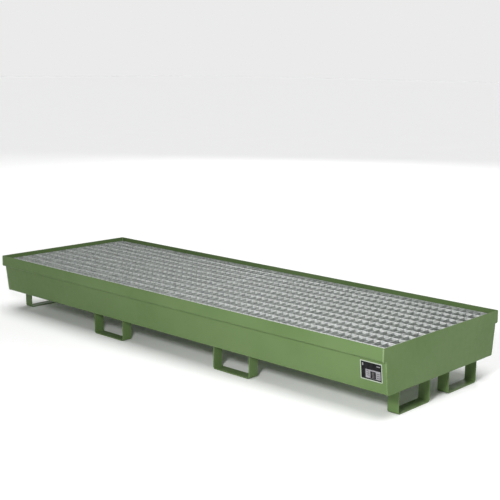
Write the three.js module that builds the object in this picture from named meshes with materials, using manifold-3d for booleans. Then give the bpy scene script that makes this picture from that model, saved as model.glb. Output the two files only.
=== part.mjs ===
// Spill containment pallet for four upright 200-litre drums standing in one row.
// A sheet steel sump stands on eight bent flat-bar feet, leaving room for fork arms from all
// four sides. Two gratings rest on the ledges inside its rim and lift out.
//
// Millimetres. +X runs along the row of drums, +Y across it, and +Z is up.
// The origin is on the floor, under the middle of the pallet.

import * as THREE from 'three';
import { mergeVertices } from 'three/addons/utils/BufferGeometryUtils.js';
import Module from 'manifold-3d';

const wasm = await Module();
wasm.setup();

// ---- Driving dimensions -------------------------------------------------------------------

const LENGTH = 2400;        // outside, over the end plates
const WIDTH = 800;          // outside, over the long rims
const HEIGHT = 285;         // floor to the top of the rim
const FOOT_HEIGHT = 100;    // floor to the underside of the sump
const GAP = 0.3;            // left between pieces that touch or are welded together
const SEAM_TOLERANCE = 0.001; // points this close to a straight line are merged after a join

const SHEET = 3;            // thickness of the sump and of its end plates
const RIM_DEPTH = 50;       // top of the rim down to the ledge that carries the gratings
const LEDGE_INSET = 18;     // from the rim's outer face in to the top of the wall
const WALL_FOOT_INSET = 34; // from the rim's outer face in to the foot of the wall
const SHEET_BEND_RADIUS = 3;  // inside radius of the folds
const BEND_STEPS = 4;       // straight steps in each bend

const FOOT_BAR = { width: 50, thickness: 5 };
const FOOT_SPAN = 210;      // outside width of each foot, across its two legs
const FOOT_BEND_RADIUS = 7; // inside radius of its two lower corners
const SIDE_FOOT = { x: 400, outerY: 355 };  // middle of the foot, and its outer edge
const END_FOOT = { y: 170, outerX: 1185 };

const GRATING_WIDTH = 783;  // across the sump, over the edge bars
const GRATING_DEPTH = 30;   // depth of the bearing and edge bars
const GRATING_SEAM = 2;     // clearance between the two gratings
const BAR_THICKNESS = 3;    // bearing and edge bars
const BEARING_PITCH = 34;   // the bearing bars run across the sump
const BEARING_SPACES = 35;  // from one end bar of a grating to the other
const CROSS_BAR = { depth: 10, thickness: 2 };
const CROSS_PITCH = 200 / 3;  // the cross bars run along the sump, flush with the top
const CROSS_BARS = 11;

const PLATE = { width: 98, height: 74, thickness: 1, cornerRadius: 3 };
const PLATE_END_MARGIN = 21;  // from the sump's end in to the edge of the plate
const PLATE_DROP = 15;        // from the underside of the ledge down to the plate, along the wall

// ---- Derived dimensions -------------------------------------------------------------------

const ledgeTop = HEIGHT - RIM_DEPTH;
const sumpHalfLength = LENGTH / 2 - SHEET;
const troughLength = 2 * (sumpHalfLength - GAP);
const gratingLength = BEARING_SPACES * BEARING_PITCH + BAR_THICKNESS;
const gratingBottom = ledgeTop + GAP;
const gratingTop = gratingBottom + GRATING_DEPTH;

// ---- Finishes -----------------------------------------------------------------------------

// Each call of a finish makes a material of its own.
const finish = (color, roughness, metalness) => () => new THREE.MeshStandardMaterial(
  { color, roughness, metalness });
const greenPaint = finish(0x6f8f5a, 0.45, 0.0);
const galvanised = finish(0xb4b8b4, 0.5, 0.8);
const printedPlate = finish(0x26262a, 0.4, 0.3);

// ---- Outlines -----------------------------------------------------------------------------

// Rounds each inner corner of an open line of points with its own radius.
function filletCorners(corners, radii) {
  return corners.flatMap((corner, i) => {
    if (i === 0 || i === corners.length - 1) {
      return [corner];
    }
    const back = corners[i - 1].clone().sub(corner).normalize();
    const ahead = corners[i + 1].clone().sub(corner).normalize();
    const halfAngle = Math.acos(back.dot(ahead)) / 2;
    const inward = back.clone().add(ahead).normalize();
    const centre = corner.clone().addScaledVector(inward, radii[i] / Math.sin(halfAngle));
    const start = corner.clone().addScaledVector(back, radii[i] / Math.tan(halfAngle));
    const sweep = Math.sign(ahead.cross(back)) * (Math.PI - 2 * halfAngle);
    return Array.from({ length: BEND_STEPS + 1 },
      (_, step) => start.clone().rotateAround(centre, sweep * step / BEND_STEPS));
  });
}

// Moves an open line of points sideways, to its left.
function offsetLine(corners, distance) {
  const normals = corners.slice(1).map((corner, i) => {
    const along = corner.clone().sub(corners[i]).normalize();
    return new THREE.Vector2(-along.y, along.x);
  });
  return corners.map((corner, i) => {
    const before = normals[Math.max(i - 1, 0)];
    const after = normals[Math.min(i, normals.length - 1)];
    const shift = before.clone().add(after).multiplyScalar(distance / (1 + before.dot(after)));
    return corner.clone().add(shift);
  });
}

// The radius of each bend on the outer line: outside the fold where it turns left, inside it
// where it turns right.
function bendRadii(corners, insideRadius, thickness, side) {
  return corners.map((corner, i) => {
    if (i === 0 || i === corners.length - 1) {
      return 0;
    }
    const turn = corner.clone().sub(corners[i - 1]).cross(corners[i + 1].clone().sub(corner));
    return turn * side > 0 ? insideRadius + thickness : insideRadius;
  });
}

// The outer line of a bent strip, with its bends rounded.
function bentOuterLine(corners, insideRadius, thickness) {
  return filletCorners(corners, bendRadii(corners, insideRadius, thickness, 1));
}

// The closed section of a strip bent along an outer line, with its thickness to the left.
function bentStripShape(corners, insideRadius, thickness) {
  const inner = offsetLine(corners, thickness);
  const innerLine = filletCorners(inner, bendRadii(inner, insideRadius, thickness, -1));
  return new THREE.Shape([...bentOuterLine(corners, insideRadius, thickness), ...innerLine.reverse()]);
}

// The underside of the sump across its width, drawn from the left rim, under, to the right rim.
function sumpOuterCorners() {
  const rim = WIDTH / 2;
  const wallTop = rim - LEDGE_INSET;
  const wallFoot = rim - WALL_FOOT_INSET;
  const ledgeUnderside = ledgeTop - SHEET;
  const right = [
    [wallFoot, FOOT_HEIGHT],
    [wallTop, ledgeUnderside],
    [rim, ledgeUnderside],
    [rim, HEIGHT],
  ];
  const left = right.map(([y, z]) => [-y, z]).reverse();
  return [...left, ...right].map(([y, z]) => new THREE.Vector2(y, z));
}

// ---- Shapes and placing -------------------------------------------------------------------

// Extrudes a section evenly to both sides of its own plane.
function extrudeCentred(shape, length) {
  return new THREE.ExtrudeGeometry(shape, { depth: length, bevelEnabled: false })
    .translate(0, 0, -length / 2);
}

// A box from its middle and its three sizes.
function box(middle, size) {
  return new THREE.BoxGeometry(...size).translate(...middle);
}

// A closed geometry as a manifold solid.
function toSolid(geometry) {
  const bare = geometry.clone();
  bare.deleteAttribute('normal');
  bare.deleteAttribute('uv');
  const merged = mergeVertices(bare);
  return new wasm.Manifold(new wasm.Mesh({
    numProp: 3,
    vertProperties: new Float32Array(merged.attributes.position.array),
    triVerts: new Uint32Array(merged.index.array),
  }));
}

// A manifold solid as a geometry.
function toGeometry(solid) {
  const mesh = solid.getMesh();
  const geometry = new THREE.BufferGeometry();
  geometry.setAttribute('position', new THREE.BufferAttribute(mesh.vertProperties, 3));
  geometry.setIndex(new THREE.BufferAttribute(mesh.triVerts, 1));
  geometry.computeVertexNormals();
  return geometry;
}

const pallet = new THREE.Group();

function addPart(name, geometry, material, parent = pallet) {
  const mesh = new THREE.Mesh(geometry, material);
  mesh.name = name;
  parent.add(mesh);
  return mesh;
}

// Turns a part drawn as a section so that the section's width lies along +Y and its height
// along +Z, with its length along +X.
function layAlongX(mesh) {
  mesh.rotation.set(Math.PI / 2, 0, Math.PI / 2, 'ZYX');
}

// ---- Sump ---------------------------------------------------------------------------------

// The floor of the sump and its two walls, folded up from one sheet. The walls stop just short
// of the ledges.
function addTrough() {
  const corners = sumpOuterCorners().slice(2, -2);
  corners[0].y -= 2 * GAP;
  corners.at(-1).y -= 2 * GAP;
  const section = bentStripShape(corners, SHEET_BEND_RADIUS, SHEET);
  layAlongX(addPart('sump_trough', extrudeCentred(section, troughLength), greenPaint()));
}

// A flat ledge runs along the top of each wall, and a rim stands along its outer edge.
function addLedgeAndRim(side, direction) {
  const rimInnerFace = WIDTH / 2 - SHEET;
  const ledgeOuterEdge = rimInnerFace - GAP;
  const ledgeInnerEdge = WIDTH / 2 - LEDGE_INSET - SHEET;
  const ledge = box(
    [0, direction * (ledgeInnerEdge + ledgeOuterEdge) / 2, ledgeTop - SHEET / 2],
    [troughLength, ledgeOuterEdge - ledgeInnerEdge, SHEET],
  );
  addPart(`ledge_${side}`, ledge, greenPaint());

  const rimHeight = RIM_DEPTH + SHEET;
  const rim = box(
    [0, direction * (rimInnerFace + SHEET / 2), HEIGHT - rimHeight / 2],
    [troughLength, SHEET, rimHeight],
  );
  addPart(`rim_${side}`, rim, greenPaint());
}

// A flat plate with the same outline as the sump's section closes each end of it.
function addEndPlate(name, side) {
  const outline = new THREE.Shape(bentOuterLine(sumpOuterCorners(), SHEET_BEND_RADIUS, SHEET));
  const plate = addPart(name, extrudeCentred(outline, SHEET), greenPaint());
  layAlongX(plate);
  plate.position.x = side * (sumpHalfLength + SHEET / 2);
}

// ---- Feet ---------------------------------------------------------------------------------

// Each foot is one flat bar bent to a U, with its two legs welded under the sump.
function footGeometry() {
  const half = FOOT_SPAN / 2;
  const top = FOOT_HEIGHT - GAP;
  const corners = [[-half, top], [-half, 0], [half, 0], [half, top]]
    .map(([across, up]) => new THREE.Vector2(across, up));
  const section = bentStripShape(corners, FOOT_BEND_RADIUS, FOOT_BAR.thickness);
  return extrudeCentred(section, FOOT_BAR.width);
}

// A side foot spans along the pallet, and an end foot spans across it.
function addFoot(name, x, y, spansAcross) {
  const foot = addPart(name, footGeometry(), greenPaint());
  foot.position.set(x, y, 0);
  if (spansAcross) {
    layAlongX(foot);
  } else {
    foot.rotation.x = Math.PI / 2;
  }
}

function addFeet() {
  const sideFootY = SIDE_FOOT.outerY - FOOT_BAR.width / 2;
  const endFootX = END_FOOT.outerX - FOOT_BAR.width / 2;
  for (const [xName, xSide] of [['left', -1], ['right', 1]]) {
    for (const [yName, ySide] of [['front', -1], ['back', 1]]) {
      addFoot(`foot_${yName}_side_${xName}`, xSide * SIDE_FOOT.x, ySide * sideFootY, false);
      addFoot(`foot_${xName}_end_${yName}`, xSide * endFootX, ySide * END_FOOT.y, true);
    }
  }
}

// ---- Gratings -----------------------------------------------------------------------------

// The bearing bars between a grating's two end bars, with the cross bars pressed into their
// top edges. All of it is drawn about the grating's own middle, with z from its underside.
function gratingMeshGeometry() {
  const bearingLength = GRATING_WIDTH - 2 * (BAR_THICKNESS + GAP);
  const crossLength = gratingLength - 2 * (BAR_THICKNESS + GAP);
  const bearingBars = Array.from({ length: BEARING_SPACES - 1 }, (_, i) => box(
    [(i + 1 - BEARING_SPACES / 2) * BEARING_PITCH, 0, GRATING_DEPTH / 2],
    [BAR_THICKNESS, bearingLength, GRATING_DEPTH],
  ));
  const crossBars = Array.from({ length: CROSS_BARS }, (_, i) => box(
    [0, (i - (CROSS_BARS - 1) / 2) * CROSS_PITCH, GRATING_DEPTH - CROSS_BAR.depth / 2],
    [crossLength, CROSS_BAR.thickness, CROSS_BAR.depth],
  ));
  const joined = [...bearingBars, ...crossBars].map(toSolid).reduce((all, bar) => all.add(bar));
  return toGeometry(joined.asOriginal().simplify(SEAM_TOLERANCE));
}

function addGrating(name, middleX, outerEnd) {
  const grating = new THREE.Group();
  grating.position.set(middleX, 0, gratingBottom);
  pallet.add(grating);
  addPart(`${name}_mesh`, gratingMeshGeometry(), galvanised(), grating);

  const sideBarY = (GRATING_WIDTH - BAR_THICKNESS) / 2;
  const endBarX = (gratingLength - BAR_THICKNESS) / 2;
  const endBarLength = GRATING_WIDTH - 2 * (BAR_THICKNESS + GAP);
  for (const [side, direction] of [['front', -1], ['back', 1]]) {
    const bar = box(
      [0, direction * sideBarY, GRATING_DEPTH / 2],
      [gratingLength, BAR_THICKNESS, GRATING_DEPTH],
    );
    addPart(`${name}_${side}_bar`, bar, galvanised(), grating);
  }
  for (const [side, direction] of [['outer', outerEnd], ['inner', -outerEnd]]) {
    const bar = box(
      [direction * endBarX, 0, GRATING_DEPTH / 2],
      [BAR_THICKNESS, endBarLength, GRATING_DEPTH],
    );
    addPart(`${name}_${side}_bar`, bar, galvanised(), grating);
  }
}

function addGratings() {
  const fromMiddle = (gratingLength + GRATING_SEAM) / 2;
  addGrating('grating_left', -fromMiddle, -1);
  addGrating('grating_right', fromMiddle, 1);
}

// ---- Rating plate -------------------------------------------------------------------------

// The plate lies flat against the front wall, which leans outward towards its top.
function addRatingPlate() {
  const half = { x: PLATE.width / 2 - PLATE.cornerRadius, y: PLATE.height / 2 - PLATE.cornerRadius };
  const outline = new THREE.Shape();
  outline.absarc(half.x, half.y, PLATE.cornerRadius, 0, Math.PI / 2);
  outline.absarc(-half.x, half.y, PLATE.cornerRadius, Math.PI / 2, Math.PI);
  outline.absarc(-half.x, -half.y, PLATE.cornerRadius, Math.PI, 1.5 * Math.PI);
  outline.absarc(half.x, -half.y, PLATE.cornerRadius, 1.5 * Math.PI, 2 * Math.PI);
  const geometry = new THREE.ExtrudeGeometry(outline, {
    depth: PLATE.thickness, bevelEnabled: false, curveSegments: BEND_STEPS,
  }).translate(0, 0, GAP);

  const wall = new THREE.Group();
  const lean = Math.atan2(WALL_FOOT_INSET - LEDGE_INSET, ledgeTop - SHEET - FOOT_HEIGHT);
  wall.position.set(LENGTH / 2, LEDGE_INSET - WIDTH / 2, ledgeTop - SHEET);
  wall.rotation.x = Math.PI / 2 + lean;
  pallet.add(wall);
  const plate = addPart('rating_plate', geometry, printedPlate(), wall);
  plate.position.x = -(PLATE_END_MARGIN + PLATE.width / 2);
  plate.position.y = -(PLATE_DROP + PLATE.height / 2);
}

addTrough();
addLedgeAndRim('front', -1);
addLedgeAndRim('back', 1);
addEndPlate('end_plate_left', -1);
addEndPlate('end_plate_right', 1);
addFeet();
addGratings();
addRatingPlate();

export default pallet;
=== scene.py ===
"""Looks of the spill containment pallet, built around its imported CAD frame.

Metres, +Z up, in the frame's own axes: +X along the row of drums, +Y across the pallet.
The sheet steel, feet, inner grating bars and rating plate are rebuilt at the size and place
of their CAD nodes, with bends, rounded edges, weld beads and finishes. The gratings' edge bars
are the CAD nodes themselves.
"""
import math

import bmesh
import bpy
from mathutils import Matrix, Vector, noise


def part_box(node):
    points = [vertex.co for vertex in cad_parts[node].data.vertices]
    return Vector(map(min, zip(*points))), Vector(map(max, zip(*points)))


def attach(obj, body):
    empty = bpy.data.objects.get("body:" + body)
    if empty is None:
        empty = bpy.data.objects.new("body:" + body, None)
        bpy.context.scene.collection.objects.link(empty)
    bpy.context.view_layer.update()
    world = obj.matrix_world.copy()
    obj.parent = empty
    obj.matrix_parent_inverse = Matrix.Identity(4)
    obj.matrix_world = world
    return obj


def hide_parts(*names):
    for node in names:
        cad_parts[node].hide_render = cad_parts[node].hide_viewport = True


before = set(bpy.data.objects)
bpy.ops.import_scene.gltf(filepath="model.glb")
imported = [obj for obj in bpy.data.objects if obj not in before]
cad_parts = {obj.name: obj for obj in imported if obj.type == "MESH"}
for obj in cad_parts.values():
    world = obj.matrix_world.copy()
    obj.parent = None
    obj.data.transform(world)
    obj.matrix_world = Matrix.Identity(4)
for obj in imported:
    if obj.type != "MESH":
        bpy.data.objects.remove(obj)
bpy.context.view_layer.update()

# ---- Dimensions that the frame's boxes don't give -----------------------------------------

GAP = 0.0003                # left between the CAD's touching solids
LEDGE_INSET = 0.018         # from the rim's outer face in to the top of the wall
WALL_FOOT_INSET = 0.034     # from the rim's outer face in to the foot of the wall
SHEET_BEND = 0.003          # inside radius of the sump's folds
FOOT_BEND = 0.007           # inside radius of the feet's lower corners
FOOT_BAR = 0.005            # thickness of the feet's flat bar
BEND_STEPS = 10             # straight steps in each bend

BEARING_PITCH = 0.034       # the bearing bars run across the pallet, side by side along X
CROSS_PITCH = 0.2 / 3       # the cross bars run along X, pressed into the bearing bars
CROSS_BARS = 11             # in each grating
CROSS_DEPTH = 0.010
CROSS_THICKNESS = 0.002
CROSS_SINK = 0.0002         # how far their tops stay below the bearing bars'

PLATE_THICKNESS = 0.001     # of the rating plate

# ---- Measures taken from the frame --------------------------------------------------------

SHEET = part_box("end_plate_left")[1].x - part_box("end_plate_left")[0].x
SUMP_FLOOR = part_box("sump_trough")[0].z                 # its underside
RIM_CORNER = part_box("rim_back")[1]                      # half-length, half-width and height
HALF_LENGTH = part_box("end_plate_right")[1].x            # of the whole tray
LEDGE_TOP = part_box("grating_left_mesh")[0].z - GAP      # a grating rests on it


# ---- Outlines -----------------------------------------------------------------------------

def turned(point, centre, angle):
    """A 2-D point turned about a centre."""
    arm = point - centre
    cos, sin = math.cos(angle), math.sin(angle)
    return centre + Vector((arm.x * cos - arm.y * sin, arm.x * sin + arm.y * cos))


def cross(a, b):
    return a.x * b.y - a.y * b.x


def filleted(corners, radii):
    """An open line of corners, each rounded by its own radius except the first and last."""
    line = [corners[0]]
    for before, corner, after, radius in zip(corners, corners[1:], corners[2:], radii[1:]):
        back = (before - corner).normalized()
        ahead = (after - corner).normalized()
        half = math.acos(back.dot(ahead)) / 2
        centre = corner + (back + ahead).normalized() * (radius / math.sin(half))
        start = corner + back * (radius / math.tan(half))
        sweep = math.copysign(math.pi - 2 * half, cross(ahead, back))
        line += [turned(start, centre, sweep * i / BEND_STEPS) for i in range(BEND_STEPS + 1)]
    return line + [corners[-1]]


def offset(corners, distance):
    """An open line of corners moved to its left."""
    along = [(b - a).normalized() for a, b in zip(corners, corners[1:])]
    normals = [Vector((-d.y, d.x)) for d in along]
    moved = []
    for i, corner in enumerate(corners):
        before = normals[max(i - 1, 0)]
        after = normals[min(i, len(normals) - 1)]
        moved.append(corner + (before + after) * (distance / (1 + before.dot(after))))
    return moved


def bend_radii(corners, inside, thickness, side):
    """Each bend's radius on one face of a strip: side is 1 for the outer line, -1 for the inner."""
    radii = [0.0]
    for before, corner, after in zip(corners, corners[1:], corners[2:]):
        turns_left = cross(corner - before, after - corner) * side > 0
        radii.append(inside + thickness if turns_left else inside)
    return radii + [0.0]


def strip_lines(corners, inside, thickness):
    """The outer and inner lines of a bent strip, point for point."""
    inner = offset(corners, thickness)
    return (filleted(corners, bend_radii(corners, inside, thickness, 1)),
            filleted(inner, bend_radii(inner, inside, thickness, -1)))


def sump_corners():
    """The underside of the sump in Y and Z, from one rim, under, to the other."""
    rim = RIM_CORNER.y
    right = [
        Vector((rim - WALL_FOOT_INSET, SUMP_FLOOR)),
        Vector((rim - LEDGE_INSET, LEDGE_TOP - SHEET)),
        Vector((rim, LEDGE_TOP - SHEET)),
        Vector((rim, RIM_CORNER.z)),
    ]
    left = [Vector((-p.x, p.y)) for p in reversed(right)]
    return left + right


# ---- Meshes -------------------------------------------------------------------------------

SMOOTH_BELOW = math.radians(30)      # an edge that turns by less is shaded smooth
ROUND_ABOVE = math.radians(50)       # and one that turns by more is rounded


def along_x(across, up, along):
    """A section's point, for a strip that runs along X: the section lies in Y and Z."""
    return Vector((along, across, up))


def along_y(across, up, along):
    """The same for a strip that runs along Y: the section lies in X and Z."""
    return Vector((across, -along, up))


def make_object(name, bm, material, sharp=SMOOTH_BELOW):
    """A smooth-shaded object from a bmesh, with edges that turn by more than sharp kept sharp."""
    bmesh.ops.recalc_face_normals(bm, faces=bm.faces)
    mesh = bpy.data.meshes.new(name)
    bm.to_mesh(mesh)
    bm.free()
    mesh.polygons.foreach_set("use_smooth", [True] * len(mesh.polygons))
    mesh.set_sharp_from_angle(angle=sharp)
    mesh.materials.append(material)
    obj = bpy.data.objects.new(name, mesh)
    bpy.context.scene.collection.objects.link(obj)
    return obj


def round_edges(obj, width):
    """Rounds the edges that turn by more than any step of a bend."""
    bevel = obj.modifiers.new("rounded_edges", "BEVEL")
    bevel.width = width
    bevel.segments = 2
    bevel.limit_method = "ANGLE"
    bevel.angle_limit = ROUND_ABOVE
    bevel.harden_normals = True
    return obj


def bridge(bm, ring_a, ring_b, closed=True):
    """Quads between two rings of vertices."""
    count = len(ring_a) if closed else len(ring_a) - 1
    for i in range(count):
        j = (i + 1) % len(ring_a)
        bm.faces.new((ring_a[i], ring_a[j], ring_b[j], ring_b[i]))


def strip_mesh(outer, inner, half_length, place):
    """A bent strip between two lines, running half_length to each side of its middle."""
    bm = bmesh.new()
    ends = []
    for along in (-half_length, half_length):
        outer_ring = [bm.verts.new(place(p.x, p.y, along)) for p in outer]
        inner_ring = [bm.verts.new(place(p.x, p.y, along)) for p in inner]
        bridge(bm, outer_ring, inner_ring, closed=False)
        ends.append(outer_ring + inner_ring[::-1])
    bridge(bm, *ends)
    return bm


def plate_mesh(outline, half_thickness, place):
    """A flat plate with a closed outline."""
    bm = bmesh.new()
    rings = [[bm.verts.new(place(p.x, p.y, along)) for p in outline]
             for along in (-half_thickness, half_thickness)]
    for ring in rings:
        bm.faces.new(ring)
    bridge(bm, *rings)
    return bm


def add_box(bm, low, high):
    """One closed box between two corners."""
    corners = [bm.verts.new((x, y, z))
               for x in (low[0], high[0]) for y in (low[1], high[1]) for z in (low[2], high[2])]
    for face in ((0, 1, 3, 2), (4, 6, 7, 5), (0, 4, 5, 1), (2, 3, 7, 6), (0, 2, 6, 4), (1, 5, 7, 3)):
        bm.faces.new([corners[i] for i in face])


def shift(bm, by):
    bmesh.ops.translate(bm, verts=bm.verts, vec=by)
    return bm


# ---- Materials ----------------------------------------------------------------------------

def colour(red, green, blue):
    return (red, green, blue, 1.0)


def set_inputs(node, values):
    for socket, value in values.items():
        node.inputs[socket].default_value = value


class Material:
    """A node material with short calls for its usual nodes."""

    def __init__(self, name, settings):
        """settings has the shader's inputs that are the same all over."""
        self.material = bpy.data.materials.new(name)
        self.material.use_nodes = True
        self.nodes = self.material.node_tree.nodes
        self.shader = self.nodes["Principled BSDF"]
        set_inputs(self.shader, settings)
        self.place = self.nodes.new("ShaderNodeTexCoord").outputs["Object"]

    def link(self, output, target):
        self.material.node_tree.links.new(output, target)

    def feed(self, socket, value):
        """Sets a socket to a number or colour, or links a node's output to it."""
        if isinstance(value, bpy.types.NodeSocket):
            self.link(value, socket)
        else:
            socket.default_value = value

    def noise(self, scale, detail=2.0, roughness=0.5, stretch=None):
        """A noise of that many features per metre, drawn out by the three stretch factors."""
        node = self.nodes.new("ShaderNodeTexNoise")
        set_inputs(node, {"Scale": scale, "Detail": detail, "Roughness": roughness})
        place = self.place
        if stretch:
            mapping = self.nodes.new("ShaderNodeMapping")
            set_inputs(mapping, {"Scale": stretch})
            self.link(place, mapping.inputs["Vector"])
            place = mapping.outputs["Vector"]
        self.link(place, node.inputs["Vector"])
        return node.outputs["Fac"]

    def crystals(self, scale):
        """A random shade for each grain of a crystal pattern."""
        node = self.nodes.new("ShaderNodeTexVoronoi")
        set_inputs(node, {"Scale": scale})
        self.link(self.place, node.inputs["Vector"])
        shade = self.nodes.new("ShaderNodeSeparateColor")
        self.link(node.outputs["Color"], shade.inputs["Color"])
        return shade.outputs["Red"]

    def height(self):
        """The point's height above the floor at rest."""
        node = self.nodes.new("ShaderNodeSeparateXYZ")
        self.link(self.place, node.inputs["Vector"])
        return node.outputs["Z"]

    def facing_up(self):
        """1 where the surface faces straight up, 0 where it is upright."""
        node = self.nodes.new("ShaderNodeSeparateXYZ")
        geometry = self.nodes.new("ShaderNodeNewGeometry")
        self.link(geometry.outputs["Normal"], node.inputs["Vector"])
        return node.outputs["Z"]

    def ramp(self, value, low, high, to_low=0.0, to_high=1.0):
        """A value between low and high, moved smoothly to between to_low and to_high."""
        node = self.nodes.new("ShaderNodeMapRange")
        node.interpolation_type = "SMOOTHSTEP"
        set_inputs(node, {
            "From Min": low, "From Max": high, "To Min": to_low, "To Max": to_high})
        self.link(value, node.inputs["Value"])
        return node.outputs["Result"]

    def times(self, a, b):
        """The product of two values."""
        node = self.nodes.new("ShaderNodeMath")
        node.operation = "MULTIPLY"
        self.feed(node.inputs[0], a)
        self.feed(node.inputs[1], b)
        return node.outputs["Value"]

    def mix(self, share, a, b):
        """Two colours mixed by a share from 0 to 1."""
        node = self.nodes.new("ShaderNodeMix")
        node.data_type = "RGBA"
        self.feed(node.inputs["Factor"], share)
        self.feed(node.inputs["A"], a)
        self.feed(node.inputs["B"], b)
        return node.outputs["Result"]

    def bump(self, *layers):
        """Bumps on top of each other. Each layer is a height, its depth and its strength."""
        normal = None
        for value, depth, strength in layers:
            node = self.nodes.new("ShaderNodeBump")
            set_inputs(node, {"Distance": depth, "Strength": strength})
            self.link(value, node.inputs["Height"])
            if normal:
                self.link(normal, node.inputs["Normal"])
            normal = node.outputs["Normal"]
        self.link(normal, self.shader.inputs["Normal"])


PAINT_GLOSS = 0.10          # specular levels
PRINT_GLOSS = 0.05
PAINT_GREEN = colour(0.088, 0.146, 0.050)
PAINT_LIGHT = colour(0.107, 0.167, 0.064)
PAINT_WELD_HIGHLIGHT = colour(0.20, 0.275, 0.140)      # painted highlight: paler green over the weld beads, for the light their rounded seams catch
PAINT_DUST = colour(0.24, 0.28, 0.20)
WORN_STEEL = colour(0.20, 0.20, 0.19)
RIM_WEAR = (0.0015, 0.0003)                  # depths under the rim's top: from none to full
FOOT_WEAR = (0.0008, 0.0035)                 # heights above the floor: from full to none
ZINC_METALLIC = 0.35
ZINC_CRYSTALS = 140.0                        # in a metre
ZINC = (colour(0.29, 0.31, 0.30), colour(0.48, 0.50, 0.49), colour(0.62, 0.64, 0.63))
# painted light: a lighter copy of the zinc for the cross bars, whose front faces catch more light
PAINTED_LIT_ZINC = (colour(0.58, 0.60, 0.59), colour(0.79, 0.81, 0.80), colour(0.87, 0.89, 0.88))


def green_paint(name="green_paint", light=PAINT_LIGHT):
    """Sprayed reseda-green paint: cloudy, faintly orange-peeled, dusty on top."""
    paint = Material(name, {"Specular IOR Level": PAINT_GLOSS})
    clouds = paint.ramp(paint.noise(3.0, detail=4.0), 0.3, 0.7)
    tone = paint.mix(clouds, PAINT_GREEN, light)
    speckle = paint.ramp(paint.noise(260.0, detail=3.0), 0.35, 0.75, 0.0, 0.35)
    tone = paint.mix(speckle, tone, light)
    settled = paint.ramp(paint.facing_up(), 0.75, 1.0)
    dust = paint.times(settled, paint.ramp(paint.noise(18.0, 5.0), 0.4, 0.8))
    tone = paint.mix(paint.times(dust, 0.35), tone, PAINT_DUST)
    paint.link(tone, paint.shader.inputs["Base Color"])
    sheen = paint.ramp(paint.noise(40.0, 5.0), 0.3, 0.7, 0.36, 0.52)
    paint.link(sheen, paint.shader.inputs["Roughness"])
    paint.bump(
        (paint.noise(5.0, detail=1.0, stretch=(1.0, 1.0, 1.4)), 0.003, 0.12),
        (paint.noise(420.0, detail=1.0), 0.00025, 0.22),
    )
    return paint


def worn(paint, near_edge, bare):
    """The paint with patches of bare steel where near_edge is 1.

    bare holds the shades of the pattern between which paint turns to steel.
    """
    pattern = paint.noise(160.0, detail=6.0, roughness=0.7, stretch=(0.4, 0.4, 2.0))
    scraped = paint.times(near_edge, paint.ramp(pattern, *bare))
    base = paint.shader.inputs["Base Color"].links[0].from_socket
    paint.link(paint.mix(scraped, base, WORN_STEEL), paint.shader.inputs["Base Color"])
    paint.link(paint.times(scraped, 0.7), paint.shader.inputs["Metallic"])
    return paint.material


def shell_paint():
    """The sump's paint, nicked here and there along the top of the rim."""
    paint = green_paint()
    rim_edge = paint.ramp(paint.height(), *(RIM_CORNER.z - depth for depth in RIM_WEAR))
    return worn(paint, rim_edge, bare=(0.60, 0.70))


def foot_paint():
    """The feet's paint, scraped where they meet the floor."""
    paint = green_paint("scuffed_green_paint")
    floor_edge = paint.ramp(paint.height(), *FOOT_WEAR, 1.0, 0.0)
    return worn(paint, floor_edge, bare=(0.45, 0.62))


def galvanised(name, dark, light, bloom_tone):
    """Dull hot-dip zinc: grey crystals and a patchy pale bloom."""
    zinc = Material(name, {"Metallic": ZINC_METALLIC})
    crystals = zinc.crystals(ZINC_CRYSTALS)
    tone = zinc.mix(zinc.ramp(crystals, 0.0, 1.0, 0.1, 0.9), dark, light)
    bloom = zinc.ramp(zinc.noise(55.0, detail=6.0, roughness=0.65), 0.48, 0.72, 0.0, 0.8)
    tone = zinc.mix(bloom, tone, bloom_tone)
    zinc.link(tone, zinc.shader.inputs["Base Color"])
    zinc.link(zinc.ramp(crystals, 0.0, 1.0, 0.34, 0.58), zinc.shader.inputs["Roughness"])
    zinc.bump(
        (zinc.noise(90.0, detail=3.0), 0.0006, 0.25),
        (zinc.noise(900.0, detail=2.0), 0.0001, 0.3),
    )
    return zinc.material


def plate_finish(name, tone, other, roughness, metallic=0.0):
    """A printed or bare area of the rating plate, slightly uneven in tone and gloss."""
    area = Material(name, {"Metallic": metallic, "Specular IOR Level": PRINT_GLOSS})
    cloud = area.ramp(area.noise(90.0, detail=5.0), 0.35, 0.7)
    area.link(area.mix(cloud, tone, other), area.shader.inputs["Base Color"])
    grain = area.noise(400.0, detail=3.0)
    sheen = area.ramp(grain, 0.3, 0.7, roughness - 0.06, roughness + 0.08)
    area.link(sheen, area.shader.inputs["Roughness"])
    area.bump((area.noise(700.0, detail=2.0), 0.00005, 0.2))
    return area.material


PAINT = shell_paint()
FOOT_PAINT = foot_paint()
# The weld beads' paler paint is a painted highlight along the corner seams.
WELD_HIGHLIGHT_PAINT = green_paint("weld_highlight_green_paint", PAINT_WELD_HIGHLIGHT).material
GALVANISED = galvanised("galvanised_steel", *ZINC)
# painted light: the cross bars' lighter copy of the zinc
PAINTED_LIT_GALVANISED = galvanised("painted_lit_galvanised_steel", *PAINTED_LIT_ZINC)
PLATE_METAL = plate_finish(
    "plate_bare_aluminium", colour(0.34, 0.38, 0.32), colour(0.42, 0.46, 0.40), 0.40, metallic=0.5)
PLATE_BLACK = plate_finish(
    "plate_black_print", colour(0.006, 0.006, 0.007), colour(0.014, 0.014, 0.016), 0.50)
PLATE_GREY = plate_finish(
    "plate_grey_print", colour(0.20, 0.195, 0.21), colour(0.26, 0.255, 0.27), 0.45)
PLATE_SHADE = plate_finish(
    "plate_dark_grey_print", colour(0.05, 0.046, 0.046), colour(0.085, 0.08, 0.08), 0.45)


# ---- Weld beads ---------------------------------------------------------------------------

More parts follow.
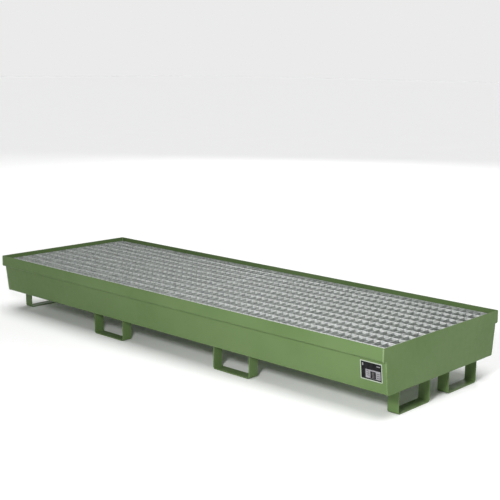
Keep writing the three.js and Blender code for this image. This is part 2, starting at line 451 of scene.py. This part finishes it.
BEAD_SIDES = 7              # straight steps round a bead's arched top
BEAD_STEP = 0.0013          # distance between its sections
BEAD_ROOT = 0.3             # how far it reaches under the surface, as a share of its height
BEAD_TIP = 0.04             # square of the share of its size that is left at its ends
RIPPLE_PITCH = 0.0042
RIPPLE_DEPTH = 0.16         # share of the bead's height
WANDER = 0.12               # how much its width varies
WANDER_SCALE = 160          # and how often, in a metre


def resampled(points, step):
    """Points at an even step along an open line, each with its distance, and the line's length."""
    lengths = [(b - a).length for a, b in zip(points, points[1:])]
    total = sum(lengths)
    count = max(2, round(total / step))
    samples = []
    segment, start = 0, 0.0
    for i in range(count + 1):
        distance = total * i / count
        while segment < len(lengths) - 1 and distance > start + lengths[segment]:
            start += lengths[segment]
            segment += 1
        share = (distance - start) / lengths[segment]
        samples.append((points[segment].lerp(points[segment + 1], min(share, 1.0)), distance))
    return samples, total


def add_bead(bm, points, outward, width, height):
    """A rippled weld bead along a line of points. outward(point) is the surface's normal there."""
    samples, total = resampled(points, BEAD_STEP)
    rings = []
    for i, (centre, distance) in enumerate(samples):
        before = samples[max(i - 1, 0)][0]
        after = samples[min(i + 1, len(samples) - 1)][0]
        along = (after - before).normalized()
        up = outward(centre)
        up = (up - along * up.dot(along)).normalized()
        side = along.cross(up)
        from_end = min(distance, total - distance)
        taper = math.sqrt(max(BEAD_TIP, min(1.0, from_end / width)))
        wander = 1 + WANDER * noise.noise(centre * WANDER_SCALE)
        ring = []
        for k in range(BEAD_SIDES + 1):
            angle = math.pi * k / BEAD_SIDES
            lag = RIPPLE_PITCH * math.cos(angle) ** 2
            ripple = 1 + RIPPLE_DEPTH * math.sin(2 * math.pi * (distance + lag) / RIPPLE_PITCH)
            ring.append(bm.verts.new(
                centre + side * (math.cos(angle) * width / 2 * taper * wander)
                + up * (math.sin(angle) * height * taper * ripple)))
        ring.append(bm.verts.new(centre - up * height * BEAD_ROOT))
        rings.append(ring)
    for a, b in zip(rings, rings[1:]):
        bridge(bm, a, b)
    bm.faces.new(rings[0])
    bm.faces.new(rings[-1])


# ---- Sump ---------------------------------------------------------------------------------

EDGE_ROUND = 0.0009         # rounding of sheared edges under paint
SEAM_BEAD = (0.0075, 0.0012)     # width and height of the bead over each end's seam
INNER_BEAD = (0.006, 0.0022)     # and of the fillet inside it

SUMP_OUTER, SUMP_INNER = strip_lines(sump_corners(), SHEET_BEND, SHEET)


def section_normal(line, outward_sign):
    """A function that gives the normal of a section's line, where it is nearest to a point."""
    def normal(point):
        here = Vector((point.y, point.z))
        i = min(range(len(line)), key=lambda k: (line[k] - here).length_squared)
        along = (line[min(i + 1, len(line) - 1)] - line[max(i - 1, 0)]).normalized()
        return Vector((0, along.y, -along.x)) * outward_sign
    return normal


def build_trough():
    """The floor, walls, ledges and rims of the sump, folded from one sheet."""
    bm = strip_mesh(SUMP_OUTER, SUMP_INNER, RIM_CORNER.x, along_x)
    trough = round_edges(make_object("sump_shell", bm, PAINT), EDGE_ROUND)
    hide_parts("sump_trough", "ledge_front", "ledge_back", "rim_front", "rim_back")
    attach(trough, "tray")


def build_end_plates():
    """The flat sheets over the sump's ends, cut to its outer line."""
    for side, sign in (("left", -1), ("right", 1)):
        at = Vector((sign * (HALF_LENGTH - SHEET / 2), 0, 0))
        bm = shift(plate_mesh(SUMP_OUTER, SHEET / 2, along_x), at)
        plate = round_edges(make_object(f"end_wall_{side}", bm, PAINT), EDGE_ROUND)
        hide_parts(f"end_plate_{side}")
        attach(plate, "tray")


def build_seam_welds():
    """A low bead over each outside corner seam, and a fillet inside it."""
    outer_normal = section_normal(SUMP_OUTER, 1)
    inner_normal = section_normal(SUMP_INNER, -1)
    for side, sign in (("left", -1), ("right", 1)):
        end = sign * RIM_CORNER.x
        away = Vector((-sign, 0, 0))
        bm = bmesh.new()
        outer = [along_x(p.x, p.y, end) for p in SUMP_OUTER]
        add_bead(bm, outer, outer_normal, *SEAM_BEAD)
        inner = [along_x(p.x, p.y, end) for p in SUMP_INNER]
        add_bead(bm, inner, lambda point: inner_normal(point) + away, *INNER_BEAD)
        # painted highlight: the beads take the paler weld paint
        weld = make_object(f"seam_weld_{side}", bm, WELD_HIGHLIGHT_PAINT, sharp=math.pi)
        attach(weld, "tray")


# ---- Feet ---------------------------------------------------------------------------------

FOOT_BEAD = (0.006, 0.0026)      # width and height
FOOT_BEAD_MARGIN = 0.002         # from the bar's edges to the ends of its beads


def build_foot(node):
    """One bar bent to a U, under the sump."""
    low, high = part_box(node)
    size = high - low
    place = along_y if size.x > size.y else along_x
    half_span, half_width = max(size.x, size.y) / 2, min(size.x, size.y) / 2
    corners = [
        Vector((-half_span, high.z)), Vector((-half_span, low.z)),
        Vector((half_span, low.z)), Vector((half_span, high.z)),
    ]
    outer, inner = strip_lines(corners, FOOT_BEND, FOOT_BAR)
    middle = (low + high) / 2
    at = Vector((middle.x, middle.y, 0))
    bar = shift(strip_mesh(outer, inner, half_width, place), at)
    foot = round_edges(make_object(f"{node}_bar", bar, FOOT_PAINT), EDGE_ROUND)
    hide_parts(node)
    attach(foot, "tray")
    weld_foot(node, place, at, half_span, half_width, high.z)


def weld_foot(node, place, at, half_span, half_width, top):
    """The beads on both faces of a foot's two legs, where they meet the sump."""
    bm = bmesh.new()
    reach = half_width - FOOT_BEAD_MARGIN
    for side in (-1, 1):
        for across, out in ((half_span, 1), (half_span - FOOT_BAR, -1)):
            line = [at + place(side * across, top, along) for along in (-reach, reach)]
            outward = place(side * out, -1.0, 0.0)
            add_bead(bm, line, lambda point, outward=outward: outward, *FOOT_BEAD)
    weld = make_object(f"{node}_weld", bm, FOOT_PAINT, sharp=math.pi)
    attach(weld, "tray")


def build_feet():
    for node in sorted(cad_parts):
        if node.startswith("foot_"):
            build_foot(node)


# ---- Gratings -----------------------------------------------------------------------------

BAR_EDGE = 0.00035               # rounding of the bars' edges
SPOT_BEAD = (0.004, 0.0016)      # width and height of a weld at a bearing bar's end
SPOT_MARGIN = 0.004              # from the bar's top and underside to the weld's ends
SPOT_SPACING = 3                 # every third bearing bar is welded


def bearing_bars(places, thickness, low, high):
    """Upright flat bars across the grating."""
    bm = bmesh.new()
    for x in places:
        add_box(bm, (x - thickness / 2, low.y, low.z), (x + thickness / 2, high.y, high.z))
    return bm


def cross_bars(low, high):
    """Thin bars along the grating, just under its top."""
    bm = bmesh.new()
    top = high.z - CROSS_SINK
    for i in range(CROSS_BARS):
        y = (low.y + high.y) / 2 + (i - (CROSS_BARS - 1) / 2) * CROSS_PITCH
        add_box(
            bm,
            (low.x, y - CROSS_THICKNESS / 2, top - CROSS_DEPTH),
            (high.x, y + CROSS_THICKNESS / 2, top),
        )
    return bm


def weld_spots(places, thickness, low, high):
    """Short upright beads between the bearing bars' ends and the edge bars."""
    bm = bmesh.new()
    for x in places[1::SPOT_SPACING]:
        for y, inward in ((low.y, 1), (high.y, -1)):
            for side in (-1, 1):
                corner = x + side * thickness / 2
                line = [Vector((corner, y, z)) for z in (low.z + SPOT_MARGIN, high.z - SPOT_MARGIN)]
                outward = Vector((side, inward, 0))
                add_bead(bm, line, lambda point, outward=outward: outward, *SPOT_BEAD)
    return bm


def build_grating(name):
    """One grating: its inner bars and welds, and a finish for the CAD's edge bars."""
    low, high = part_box(f"{name}_mesh")
    outer_end, inner_end = (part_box(f"{name}_{side}_bar") for side in ("outer", "inner"))
    thickness = outer_end[1].x - outer_end[0].x
    span = abs((outer_end[0].x + outer_end[1].x) - (inner_end[0].x + inner_end[1].x)) / 2
    spaces = round(span / BEARING_PITCH)
    middle = (low.x + high.x) / 2
    places = [middle + (i - spaces / 2) * BEARING_PITCH for i in range(1, spaces)]

    bearing = bearing_bars(places, thickness, low, high)
    bearing = round_edges(make_object(f"{name}_bearing_bars", bearing, GALVANISED), BAR_EDGE)
    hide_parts(f"{name}_mesh")
    # painted light: the cross bars take the lighter copy of the zinc
    cross = make_object(f"{name}_cross_bars", cross_bars(low, high), PAINTED_LIT_GALVANISED)
    round_edges(cross, BAR_EDGE)
    spots = weld_spots(places, thickness, low, high)
    spots = make_object(f"{name}_weld_spots", spots, GALVANISED, sharp=math.pi)
    for piece in (bearing, cross, spots):
        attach(piece, name)

    for side in ("front", "back", "outer", "inner"):
        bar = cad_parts[f"{name}_{side}_bar"]
        bar.data.materials.clear()
        bar.data.materials.append(GALVANISED)
        round_edges(bar, BAR_EDGE)


# ---- Rating plate -------------------------------------------------------------------------

PRINT_LIFT = 0.00012        # each printed layer above the one under it
PLATE_EDGE = 0.0035         # bare border round the black print
PLATE_CORNER = 0.003        # radius
PLATE_MATERIALS = (PLATE_METAL, PLATE_BLACK, PLATE_GREY, PLATE_SHADE)
METAL, BLACK, GREY, SHADE = range(4)

# Printed fields over the black ground: left, bottom, right and top as shares of the plate's
# width and height, the material, and how many print layers high the field stands.
PRINTED_FIELDS = (
    (0.24, 0.125, 0.92, 0.575, GREY, 2),         # window
    (0.46, 0.135, 0.71, 0.51, BLACK, 3),         # dark square in it
    (0.53, 0.165, 0.64, 0.47, SHADE, 4),         # and its paler middle
    (0.75, 0.80, 0.91, 0.845, GREY, 3),          # bar at the upper right
    (0.085, 0.73, 0.145, 0.87, GREY, 3),         # block at the upper left
)
DASH_COLUMNS = ((0.29, 0.41, 0.47), (0.75, 0.89, 0.42))      # left, right and the first's bottom
DASHES = 3                  # in each column
DASH_PITCH = 0.11
DASH_HEIGHT = 0.03


def rounded_rectangle(low, high, radius):
    """The outline of a rectangle with round corners."""
    steps = BEND_STEPS // 2
    left, right = low.x + radius, high.x - radius
    bottom, top = low.y + radius, high.y - radius
    centres = ((right, top), (left, top), (left, bottom), (right, bottom))
    points = []
    for quarter, centre in enumerate(centres):
        for i in range(steps + 1):
            angle = math.pi / 2 * (quarter + i / steps)
            points.append(Vector(centre) + Vector((math.cos(angle), math.sin(angle))) * radius)
    return points


def add_tile(bm, outline, low, high, material_index):
    """A thin closed tile on the plate: outline in its plane, low and high above it."""
    before = len(bm.faces)
    rings = [[bm.verts.new((p.x, p.y, z)) for p in outline] for z in (low, high)]
    for ring in rings:
        bm.faces.new(ring)
    bridge(bm, *rings)
    bm.faces.ensure_lookup_table()
    for face in bm.faces[before:]:
        face.material_index = material_index


def printed_fields():
    """The fields of the print, and the dashes that stand for its lines of text."""
    dashes = [
        (left, first - i * DASH_PITCH, right, first - i * DASH_PITCH + DASH_HEIGHT, SHADE, 4)
        for left, right, first in DASH_COLUMNS for i in range(DASHES)
    ]
    return [*PRINTED_FIELDS, *dashes]


def plate_tiles(width, height):
    """The plate lying flat: a bare sheet, a black ground and the printed fields."""
    bm = bmesh.new()
    top = PLATE_THICKNESS
    half = Vector((width / 2, height / 2))
    add_tile(bm, rounded_rectangle(-half, half, PLATE_CORNER), 0.0, top, METAL)
    ground = half - Vector((PLATE_EDGE, PLATE_EDGE))
    black = rounded_rectangle(-ground, ground, PLATE_CORNER / 2)
    add_tile(bm, black, top - PRINT_LIFT, top + PRINT_LIFT, BLACK)
    for left, bottom, right, upper, material, layers in printed_fields():
        corners = ((left, bottom), (right, bottom), (right, upper), (left, upper))
        outline = [Vector(((x - 0.5) * width, (y - 0.5) * height)) for x, y in corners]
        add_tile(bm, outline, top, top + PRINT_LIFT * layers, material)
    return bm


def build_rating_plate():
    """The blank plate, laid against the leaning front wall."""
    low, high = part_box("rating_plate")
    lean = math.atan2(WALL_FOOT_INSET - LEDGE_INSET, LEDGE_TOP - SHEET - SUMP_FLOOR)
    height = (high.z - low.z - PLATE_THICKNESS * math.sin(lean)) / math.cos(lean)
    plate = make_object("blank_rating_plate", plate_tiles(high.x - low.x, height), PLATE_METAL)
    for material in PLATE_MATERIALS[1:]:
        plate.data.materials.append(material)
    turn = Matrix.Rotation(math.pi / 2 + lean, 4, "X")
    back_to_middle = turn.to_3x3() @ Vector((0, 0, PLATE_THICKNESS / 2))
    plate.data.transform(Matrix.Translation((low + high) / 2 - back_to_middle) @ turn)
    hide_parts("rating_plate")
    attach(plate, "tray")


build_trough()
build_end_plates()
build_seam_welds()
build_feet()
for grating in ("grating_left", "grating_right"):
    build_grating(grating)
build_rating_plate()


# ---- Floor, light and camera --------------------------------------------------------------

FLOOR_REACH = 60.0                    # from the middle to each side
FLOOR_TONE = colour(0.92, 0.92, 0.92)
FLOOR_TONE_LIGHT = colour(0.95, 0.95, 0.95)
FLOOR_ROUGHNESS = 0.7
HORIZON_BAND = (0.22, 0.50)           # sines of the elevations between which the sky dims
HORIZON_LIGHT = 0.83
OVERHEAD_LIGHT = 0.14
SOFTBOXES = (                         # name, place, aim, size and power in watts
    ("key_softbox", (1.6, -2.3, 1.35), (0.9, -0.3, 0.15), 0.4, 51.0),
    ("end_softbox", (3.8, 0.1, 0.2), (1.2, 0.0, 0.05), 0.8, 12.0),
    ("back_softbox", (-4.5, 6.0, 3.6), (-0.3, 0.3, 0.1), 3.0, 150.0),
)
CEILING_SPREAD = math.radians(45)
CEILING_LIGHT = 2.2
CEILING_PLACE = (0.6, 0.0, 4.0)       # only the direction to it counts

CAMERA_PLACE = Vector((3.189, -3.239, 1.283))
CAMERA_TURN = math.radians(42.98)     # to the left of +Y
CAMERA_TILT = math.radians(10.67)     # below the horizon
CAMERA_ROLL = math.radians(0.61)
CAMERA_LENS = 72.2                    # mm
CAMERA_SENSOR = 36.0                  # its width in mm


def build_floor():
    pale = Material("pale_floor", {"Roughness": FLOOR_ROUGHNESS})
    tone = pale.mix(pale.noise(2.0), FLOOR_TONE, FLOOR_TONE_LIGHT)
    pale.link(tone, pale.shader.inputs["Base Color"])
    bm = bmesh.new()
    bmesh.ops.create_grid(bm, x_segments=1, y_segments=1, size=FLOOR_REACH)
    floor = make_object("studio_floor", bm, pale.material)


def build_backdrop():
    """A plain sky: light along the horizon, dimmer overhead."""
    world = bpy.data.worlds.new("studio_white")
    world.use_nodes = True
    nodes, links = world.node_tree.nodes, world.node_tree.links
    direction = nodes.new("ShaderNodeTexCoord").outputs["Generated"]
    height = nodes.new("ShaderNodeSeparateXYZ")
    links.new(direction, height.inputs["Vector"])
    fade = nodes.new("ShaderNodeMapRange")
    fade.interpolation_type = "SMOOTHSTEP"
    set_inputs(fade, {
        "From Min": HORIZON_BAND[0], "From Max": HORIZON_BAND[1],
        "To Min": HORIZON_LIGHT, "To Max": OVERHEAD_LIGHT})
    links.new(height.outputs["Z"], fade.inputs["Value"])
    background = nodes["Background"]
    set_inputs(background, {"Color": colour(1.0, 1.0, 1.0)})
    links.new(fade.outputs["Result"], background.inputs["Strength"])
    bpy.context.scene.world = world


def add_lamp(name, light, place, aim):
    """Puts a light in place, turned to its aim and out of the camera's sight."""
    lamp = bpy.data.objects.new(name, light)
    lamp.location = place
    lamp.visible_camera = False
    lamp.rotation_mode = "QUATERNION"
    lamp.rotation_quaternion = (Vector(aim) - Vector(place)).to_track_quat("-Z", "Y")
    bpy.context.scene.collection.objects.link(lamp)


def build_lights():
    for name, place, aim, size, power in SOFTBOXES:
        light = bpy.data.lights.new(name, "AREA")
        light.size = size
        light.energy = power
        add_lamp(name, light, place, aim)
    ceiling = bpy.data.lights.new("ceiling_light", "SUN")
    ceiling.angle = CEILING_SPREAD
    ceiling.energy = CEILING_LIGHT
    add_lamp("ceiling_light", ceiling, CEILING_PLACE, (0.0, 0.0, 0.0))


def build_camera():
    camera = bpy.data.cameras.new("photo_camera")
    camera.lens = CAMERA_LENS
    camera.sensor_width = CAMERA_SENSOR
    obj = bpy.data.objects.new("photo_camera", camera)
    obj.matrix_world = (
        Matrix.Translation(CAMERA_PLACE)
        @ Matrix.Rotation(CAMERA_TURN, 4, "Z")
        @ Matrix.Rotation(math.pi / 2 - CAMERA_TILT, 4, "X")
        @ Matrix.Rotation(CAMERA_ROLL, 4, "Z")
    )
    bpy.context.scene.collection.objects.link(obj)
    bpy.context.scene.camera = obj


build_floor()
build_backdrop()
build_lights()
build_camera()
bpy.context.scene.view_settings.view_transform = "Standard"
